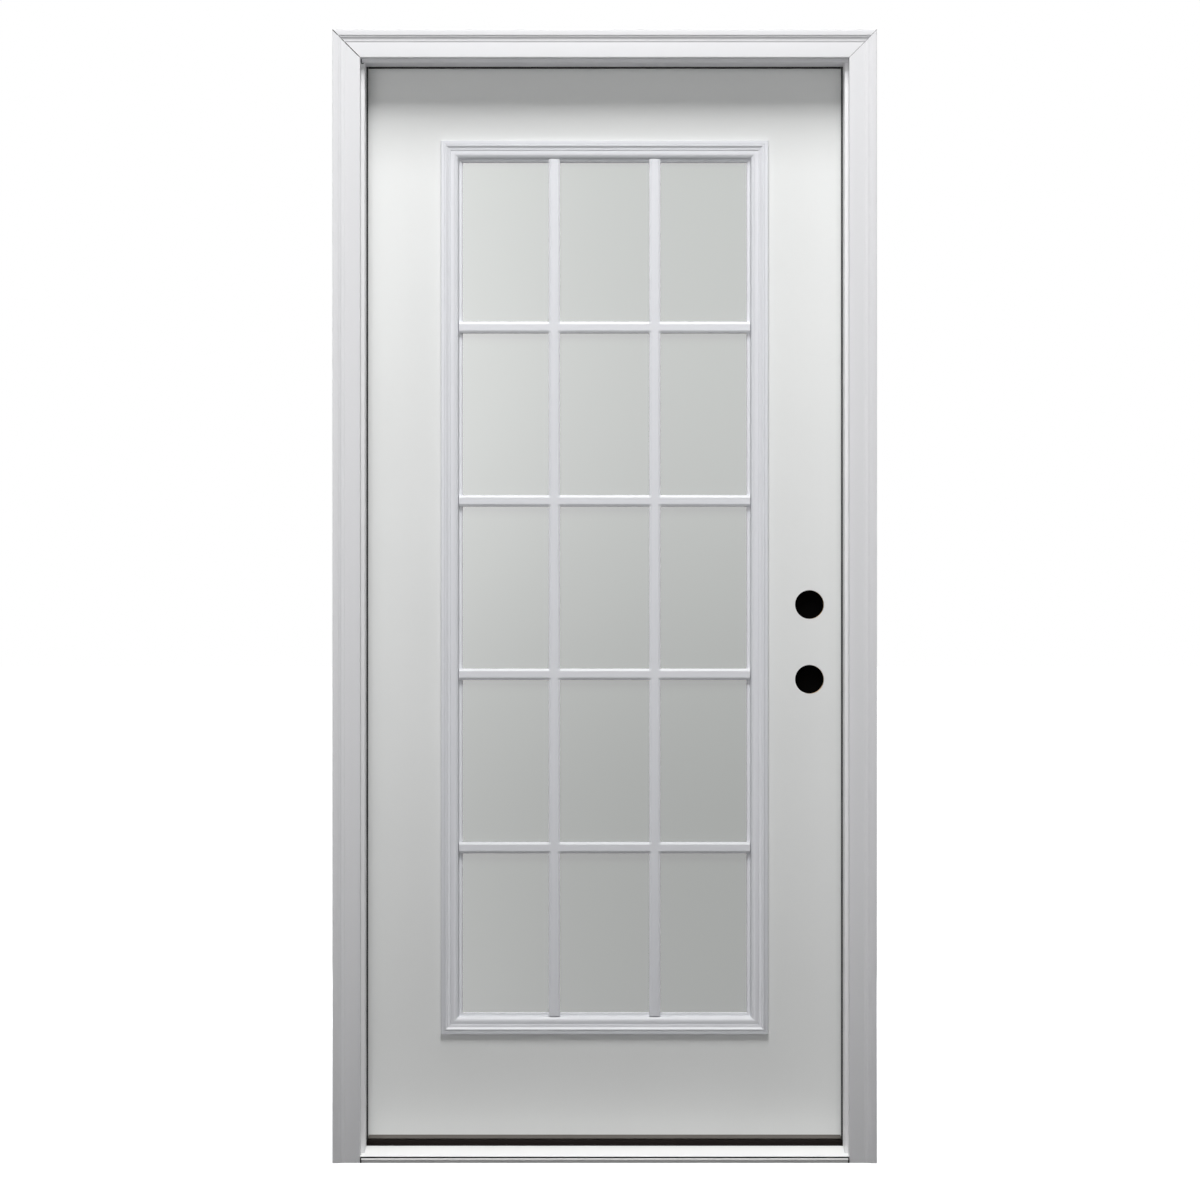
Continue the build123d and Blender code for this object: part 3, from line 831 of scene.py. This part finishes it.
@dataclass(frozen=True)
class Leaf:
    """Steel skins on a wooden rim round rigid foam, with a disc of painted shade in each lock bore."""

    bore_x: float = 382.99
    bore_levels: Pair = (891.5, 1031.2)
    bore_r: float = 26.99
    plug_clear: float = 0.2
    middle_y: float = 93.675
    plug_half: float = 3.0
    dish: float = 1.2
    rings: int = 8
    spokes: int = 48

    def plug(self, level: float) -> Shell:
        """Round disc of painted shade, dished on both faces.

        Distance from the middle is a share of the radius, and the face's depth there is the half
        thickness less the dish times one minus the share squared.
        """
        radius = self.bore_r - self.plug_clear
        share = np.linspace(1 / self.rings, 1, self.rings)
        shares = np.concatenate([share, share[::-1]])
        depth = self.plug_half - self.dish * (1 - shares ** 2)
        depth[self.rings:] *= -1
        angle = np.linspace(0, 2 * np.pi, self.spokes, endpoint=False)
        rings = np.stack([
            self.bore_x + radius * shares[:, None] * np.cos(angle),
            self.middle_y - depth[:, None] * np.ones_like(angle),
            level + radius * shares[:, None] * np.sin(angle),
        ], axis=-1)
        return Shell.through(rings)

    def build(self) -> None:
        """Dresses the leaf's parts and darkens its bores with discs of painted shade."""
        dress(("outer_skin", "inner_skin"), PRIMED_STEEL)
        dress(("hinge_stile", "lock_stile", "lock_block"), PINE_UPRIGHT)
        dress(("top_rail", "bottom_rail"), PINE_LEVEL)
        dress(("foam_core",), RIGID_FOAM)
        make_piece("bore_shade_plugs", [self.plug(level) for level in self.bore_levels], BORE_SHADE, Body.DOOR,
                   "seal_rubber")


@dataclass(frozen=True)
class GlazedPanel:
    """Insulating glass between two moulded surrounds, each with a raised grille."""

    width: float = 611.0
    height: float = 1669.0
    middle_z: float = 1063.0
    outer_y: float = 71.45
    inner_y: float = 115.9
    glass_w: float = 563.2
    glass_h: float = 1621.2
    glass_back: float = 9.525
    glazing_gap: float = 0.3
    face_w: float = 40.0
    lap: float = 15.0
    leg_clear: float = 0.5
    leg_w: float = 5.0
    edge_h: float = 6.8
    lip: Pair = (1.3, 8.2)
    lip_mid: float = 0.3
    line_in: float = 6.2
    line_w: float = 1.1
    line_depth: float = 1.1
    line_at: float = 0.6
    line_rise: float = 0.15
    crest: Pair = (8.4, 9.8)
    crest_drop: float = 0.75
    ledge: Pair = (12.8, 7.5)
    hollow_mid: Pair = (0.4, 0.65)
    hollow_drop: float = 1.2
    step_in: float = 17.2
    step_w: float = 0.9
    step_h: float = 1.5
    bead: Pair = (23.6, 5.6)
    fall: Pair = (31.2, 1.9)
    fall_mid_drop: float = 1.3
    wall: Pair = (33.9, -7.2)
    strip_end: float = 38.5
    strip_fall: float = 0.35
    bar_end: float = 33.4
    columns: int = 3
    rows: int = 5
    bar_w: float = 21.0
    bar_face_w: float = 12.0
    bar_bevel_h: float = 2.2
    bar_proud: float = 1.6
    bar_crease_deg: float = 15.0
    bar_soft_edge: float = 0.45
    seat_clear: float = 0.05

    @property
    def glass_at(self) -> float:
        """Height of the glass off the leaf, under zero."""
        return self.glazing_gap - self.glass_back

    @property
    def seat_in(self) -> tuple[float, ...]:
        """Places where what lies under the bars changes its slope, inward from the surround's outer edge."""
        return self.bar_end, self.wall[0], self.strip_end, self.face_w + self.seat_clear

    def profile(self) -> np.ndarray:
        """Section of the surround: inward from its outer edge, and height off the leaf."""
        glass_at = self.glass_at
        foot = self.lap + self.leg_clear
        half = (self.glazing_gap + self.outer_y - self.inner_y) / 2
        (lip_in, lip_h), (crest_in, crest_h), (ledge_in, ledge_h) = self.lip, self.crest, self.ledge
        lip_mid = (lip_in * self.lip_mid, lip_h - (lip_h - self.edge_h) * self.lip_mid)
        line_h = lip_h + (crest_h - lip_h) * self.line_at
        line_mid, line_end = self.line_in + self.line_w / 2, self.line_in + self.line_w
        soft = ((crest_in + ledge_in) / 2, crest_h - self.crest_drop)
        way, sunk = self.hollow_mid
        hollow_mid = (ledge_in + (self.step_in - ledge_in) * way, ledge_h - self.hollow_drop * sunk)
        hollow = ledge_h - self.hollow_drop
        fall_mid = ((self.bead[0] + self.fall[0]) / 2, self.bead[1] - self.fall_mid_drop)
        return section(
            (0, 0),
            [(0, self.edge_h)],
            [lip_mid, self.lip],
            [(self.line_in, line_h)],
            [(line_mid, line_h - self.line_depth)],
            [(line_end, line_h + self.line_rise)],
            [self.crest, soft],
            [self.ledge],
            [hollow_mid, (self.step_in, hollow)],
            [(self.step_in + self.step_w, hollow - self.step_h)],
            [self.bead],
            [fall_mid, self.fall],
            [self.wall],
            [(self.strip_end, self.wall[1] - self.strip_fall)],
            [(self.face_w, glass_at)],
            [(foot + self.leg_w, glass_at)],
            [(foot + self.leg_w, half)],
            [(foot, half)],
            [(foot, 0)],
            [(0, 0)],
            steps=7)

    def plane_y(self, face: Face) -> float:
        """The leaf's face that the height is measured from."""
        return self.outer_y if face is Face.OUTER else self.inner_y

    def surround(self, face: Face) -> Shell:
        """Section carried round four mitred corners, each inset from its corner by the inward way."""
        inward, height = self.profile().T
        y = self.plane_y(face) + face.value * height
        rings = [
            np.column_stack([x * (self.width / 2 - inward), y, self.middle_z + z * (self.height / 2 - inward)])
            for x, z in ((-1, -1), (1, -1), (1, 1), (-1, 1))
        ]
        return Shell.through(np.stack(rings), looped=True)

    def bars(self, size: float, glass: float, count: int) -> tuple[np.ndarray, np.ndarray, np.ndarray]:
        """Bars that cross one direction, on grid lines at their edges and bevels and round the seat.

        Their height is the face's up to half the face's width from a bar's middle, and falls evenly
        to the bevel's foot at half the bar's width.

        Args:
            size: Size of the panel in that direction.
            glass: Size of the glass.
            count: Number of panes.

        Returns:
            The lines, the height at each, endlessly low where no bar is, and for each stretch between
            two lines whether a bar fills it.
        """
        middles = (np.arange(1, count) - count / 2) * (glass / count)
        edges = np.array([-self.bar_w, -self.bar_face_w, self.bar_face_w, self.bar_w]) / 2
        reach = size / 2 - np.array(self.seat_in)
        lines = np.unique(np.concatenate([(middles[:, None] + edges).ravel(), reach, -reach]))
        away = np.abs(lines[:, None] - middles).min(axis=1)
        foot = self.bar_proud - self.bar_bevel_h
        height = np.interp(away, (self.bar_face_w / 2, self.bar_w / 2), (self.bar_proud, foot))
        height[away >= self.bar_w / 2 + self.seat_clear] = -np.inf
        between = (lines[1:] + lines[:-1]) / 2
        filled = np.abs(between[:, None] - middles).min(axis=1) < self.bar_w / 2
        return lines, height, filled

    def grille(self, face: Face) -> Shell:
        """Bars as a height over the panel: the higher of the upright and the level bars at each point.

        Underneath they lie on the glass, and on the surround's strip and wall at their ends.
        """
        across, upright, on_upright = self.bars(self.width, self.glass_w, self.columns)
        along, level, on_level = self.bars(self.height, self.glass_h, self.rows)
        top = np.maximum(upright[:, None], level)
        top[np.isinf(top)] = 0
        inward = np.minimum(self.width / 2 - np.abs(across)[:, None], self.height / 2 - np.abs(along))
        (fall_in, fall_h), (wall_in, wall_h) = self.fall, self.wall
        end_h = fall_h + (wall_h - fall_h) * (self.bar_end - fall_in) / (wall_in - fall_in)
        seat_h = (end_h, wall_h, wall_h - self.strip_fall, self.glass_at)
        base = np.interp(inward, self.seat_in, seat_h) + self.seat_clear
        filled = on_upright[:, None] | on_level
        y = self.plane_y(face)
        return Shell.relief(across, along + self.middle_z, y + face.value * top, y + face.value * base, filled)

    def build(self) -> None:
        """Makes both surrounds and grilles and dresses the glass."""
        dressed = (WHITE_POLYMER, Body.DOOR, "lite_plastic")
        for face, word in ((Face.OUTER, "outer"), (Face.INNER, "inner")):
            make_piece(f"{word}_moulded_surround", [self.surround(face)], *dressed, [f"{word}_surround"])
            make_piece(f"{word}_raised_grille", [self.grille(face)], *dressed, [f"{word}_grille"],
                       crease_deg=self.bar_crease_deg, arris_mm=self.bar_soft_edge)
        dress(("outer_glass", "inner_glass"), COATED_GLASS)
        dress(("glass_spacer",), SPACER)


@dataclass(frozen=True)
class Hinges:
    """Three butt hinges: each has a plate on the jamb and one on the leaf, and four screws in each."""

    gap_x: float = -456.525
    half_gap: float = 2.525
    levels: Triple = (316.9, 1066.2, 1815.5)
    plate_y: float = 79.05
    screw_places: tuple[Pair, ...] = ((9.0, 34.0), (9.0, -34.0), (24.0, 13.0), (24.0, -13.0))
    head_r: float = 4.1
    dome: float = 0.12
    sink: float = 1.4
    cone: Pair = (0.45, 0.05)
    recess_r: float = 2.3
    recess_arm: float = 0.5
    recess_depth: float = 0.9
    recess_slope: Pair = (0.25, 0.4)
    first_ring: float = 0.04
    rings: int = 14
    spokes: int = 40

    def screw(self, side: int, y: float, z: float) -> Shell:
        """Countersunk screw: a shallow dome with a cross-shaped recess, over a cone.

        The dome's height falls with the square of the share of the radius. Inside the recess, where
        the nearer of the two cross axes is under half an arm's width away, the depth is taken off.
        """
        share = np.concatenate([np.linspace(self.first_ring, 1, self.rings), self.cone])[:, None]
        angle = np.linspace(0, 2 * np.pi, self.spokes, endpoint=False)
        radius = self.head_r * share
        a, b = radius * np.cos(angle), radius * np.sin(angle)
        arm = np.minimum(np.abs(a), np.abs(b))
        side_w, end_w = self.recess_slope
        inside = np.clip((self.recess_r - radius) / end_w, 0, 1)
        inside = inside * np.clip((self.recess_arm - arm) / side_w, 0, 1)
        out = self.dome * (1 - share ** 2) - self.recess_depth * inside
        out[self.rings:] = -self.sink
        x = self.gap_x + side * (self.half_gap - out)
        return Shell.through(np.stack([x, y + a, z + b], axis=-1))

    def build(self) -> None:
        """Dresses plates and pins and drives the screws."""
        for word, level in zip(("low", "middle", "high"), self.levels):
            dress((f"jamb_hinge_plate_{word}", f"door_hinge_plate_{word}", f"hinge_pin_{word}"), SATIN_NICKEL)
            for part, side, body in (("jamb", -1, Body.FRAME), ("door", 1, Body.DOOR)):
                screws = [self.screw(side, self.plate_y + y, level + z) for y, z in self.screw_places]
                make_piece(f"{part}_hinge_screws_{word}", screws, SATIN_NICKEL, body, "zinc_steel")


@dataclass(frozen=True)
class SoftLamp:
    """Rectangular lamp: its middle, the point it is turned to and its size, all in millimetres.

    A grid in front of it narrows its beam: light fades to nothing at half the grid's angle from
    straight ahead.
    """

    name: str
    place: Triple
    aim: Triple
    width: float
    height: float
    watts: float
    grid_deg: float = 180.0
    in_gloss: bool = False

    def build(self) -> None:
        """Hangs the lamp."""
        data = bpy.data.lights.new(self.name, "AREA")
        data.shape = "RECTANGLE"
        data.size, data.size_y = self.width * MM, self.height * MM
        data.energy = self.watts
        data.spread = math.radians(self.grid_deg)
        lamp = new_object(self.name, data)
        lamp.location = Vector(self.place) * MM
        lamp.rotation_euler = (Vector(self.aim) * MM - lamp.location).to_track_quat("-Z", "Y").to_euler()
        lamp.visible_camera = False
        lamp.visible_glossy = self.in_gloss


@dataclass(frozen=True)
class Studio:
    """Pale floor, soft lamps all round, brightest above and in front, and a long lens square to the door."""

    camera_x: float = -8.6
    camera_distance: float = 8150.0
    camera_z: float = 1039.7
    focal_px: float = 4399.0
    sensor_mm: float = 36.0
    floor_half: float = 60000.0
    floor_seen: str = "#DADBDC"
    floor_lit: str = "#8C8D8E"
    floor_near: str = "#2E2E2F"
    near_reach: Pair = (700.0, 2200.0)
    floor_glow: Pair = (0.55, 1.0)
    glow_reach: Pair = (1200.0, 6000.0)
    floor_fill: float = 0.08
    fill: float = 0.09
    gloss: float = 0.6
    wall_gloss: float = 1.35
    wall_left: float = 0.65
    wall_turn: float = 0.036
    wall_fall: Pair = (-0.06, 0.06)
    wall_low: float = 0.54
    wall_height: Pair = (0.16, 0.3)
    lamps: tuple[SoftLamp, ...] = (
        SoftLamp("key_lamp", (0, -2950, 4630), (0, 0, 1300), 900, 680, 66, in_gloss=True),
        SoftLamp("high_lamp", (0, -2065, 5010), (0, 0, 1300), 1600, 1250, 110, in_gloss=True),
        SoftLamp("front_lamp", (-600, -3400, 1500), (0, 0, 1700), 2400, 600, 6.2, grid_deg=81),
        SoftLamp("back_lamp", (600, 3800, 2050), (0, 0, 1000), 2400, 1600, 110),
        SoftLamp("left_lamp", (-3600, 900, 1900), (0, 60, 1000), 1000, 1600, 28),
        SoftLamp("right_lamp", (3600, 900, 1900), (0, 60, 1000), 1000, 1600, 28),
        SoftLamp("sill_lamp", (0, -95, 1960), (0, -95, 0), 1300, 80, 0.3, grid_deg=16),
    )

    def camera(self) -> None:
        """Level camera on the door's middle, at the photograph's distance and scale."""
        data = bpy.data.cameras.new("camera")
        data.sensor_width = self.sensor_mm
        data.lens = self.focal_px / IMAGE_SIZE * self.sensor_mm
        data.clip_end = 200.0
        camera = new_object("camera", data)
        camera.location = Vector((self.camera_x, -self.camera_distance, self.camera_z)) * MM
        camera.rotation_euler = (math.pi / 2, 0, 0)
        bpy.context.scene.camera = camera

    def floor(self) -> None:
        """Flat floor that takes shadows.

        The camera sees it pale, with a glow that grows towards the horizon, where it shows white. The light
        that it throws back is less, and least near the door, and away from the door it glows a little, which
        lights the door as a lamp would. Gloss doesn't see it.
        """
        half = self.floor_half * MM
        corners = [(-half, -half, 0), (half, -half, 0), (half, half, 0), (-half, half, 0)]
        mesh = bpy.data.meshes.new("floor")
        mesh.from_pydata(corners, [], [(0, 1, 2, 3)])
        material = bpy.data.materials.new("pale_studio_floor")
        tree = empty_tree(material)
        seen = add(tree, "LightPath").outputs["Is Camera Ray"]
        place = add(tree, "TexCoord").outputs["Object"]
        away = add(tree, "VectorMath", {0: place}, operation="LENGTH").outputs["Value"]
        from_door = ramp(away, *(end * MM for end in self.near_reach))
        reach = add(tree, "MapRange", from_door, interpolation_type="SMOOTHSTEP")
        ends = {0: reach, 6: linear(self.floor_near), 7: linear(self.floor_lit)}
        thrown = add(tree, "Mix", ends, data_type="RGBA").outputs[2]
        colour = add(tree, "Mix", {0: seen, 6: thrown, 7: linear(self.floor_seen)}, data_type="RGBA").outputs[2]
        far = add(tree, "MapRange", ramp(away, *(end * MM for end in self.glow_reach), *self.floor_glow))
        fill = add(tree, "Math", {0: reach, 1: self.floor_fill}, operation="MULTIPLY")
        glow = add(tree, "Emission", {"Strength": add(tree, "Mix", {0: seen, 2: fill, 3: far})})
        both = add(tree, "AddShader", {0: add(tree, "BsdfDiffuse", {"Color": colour}), 1: glow})
        add(tree, "OutputMaterial", {"Surface": both})
        mesh.materials.append(material)
        floor = new_object("floor", mesh)
        floor.visible_glossy = False

    def wall_in_gloss(self, tree: Tree) -> Node:
        """What gloss sees: an even level, and a bright wall all round near the horizon.

        Across the turn that the camera's reflection in the glass covers, the wall gets brighter to
        the left with the square of the way, and evenly duller downwards. It ends a little above and
        below the horizon.
        """
        part = add(tree, "SeparateXYZ", {0: add(tree, "TexCoord").outputs["Generated"]}).outputs
        left = add(tree, "MapRange", ramp(part["X"], -self.wall_turn, self.wall_turn, 1.0, 0.0))
        squared = add(tree, "Math", {0: left, 1: 2.0}, operation="POWER")
        sides = {0: squared, 1: self.wall_left, 2: self.wall_gloss}
        across = add(tree, "Math", sides, operation="MULTIPLY_ADD")
        downwards = ramp(part["Z"], *self.wall_fall, self.wall_low, 1.0)
        fall = add(tree, "MapRange", downwards, interpolation_type="SMOOTHSTEP")
        rise = add(tree, "Math", {0: part["Z"]}, operation="ABSOLUTE")
        band = add(tree, "MapRange", ramp(rise, *self.wall_height, 1.0, 0.0))
        wall = add(tree, "Math", {0: fall, 1: band}, operation="MULTIPLY")
        return add(tree, "Math", {0: wall, 1: across, 2: self.gloss}, operation="MULTIPLY_ADD")

    def surroundings(self) -> None:
        """Even fill from all round, white to the camera and through glass."""
        world = bpy.data.worlds.new("studio")
        tree = empty_tree(world)
        ray = add(tree, "LightPath").outputs
        lit = add(tree, "Mix", {0: ray["Is Glossy Ray"], 2: self.fill, 3: self.wall_in_gloss(tree)})
        seen = add(tree, "Math", {0: ray["Is Camera Ray"], 1: ray["Is Transmission Ray"]}, operation="MAXIMUM")
        strength = add(tree, "Mix", {0: seen, 2: lit, 3: 1.0})
        light = add(tree, "Background", {"Color": (1.0, 1.0, 1.0, 1.0), "Strength": strength})
        add(tree, "OutputWorld", {"Surface": light})
        bpy.context.scene.world = world

    def build(self) -> None:
        """Sets up the camera, the lamps, the floor and the surroundings."""
        self.camera()
        for lamp in self.lamps:
            lamp.build()
        self.floor()
        self.surroundings()
        bpy.context.scene.view_settings.view_transform = "Standard"


def main() -> None:
    """Builds every sub-assembly in order, then the studio."""
    logging.basicConfig(level=logging.INFO, format="%(name)s %(message)s")
    for assembly in (Casing(), Jambs(), Sill(), WeatherSeals(), Leaf(), GlazedPanel(), Hinges(), Studio()):
        log.info("building %s", type(assembly).__name__)
        assembly.build()


if __name__ == "__main__":
    main()
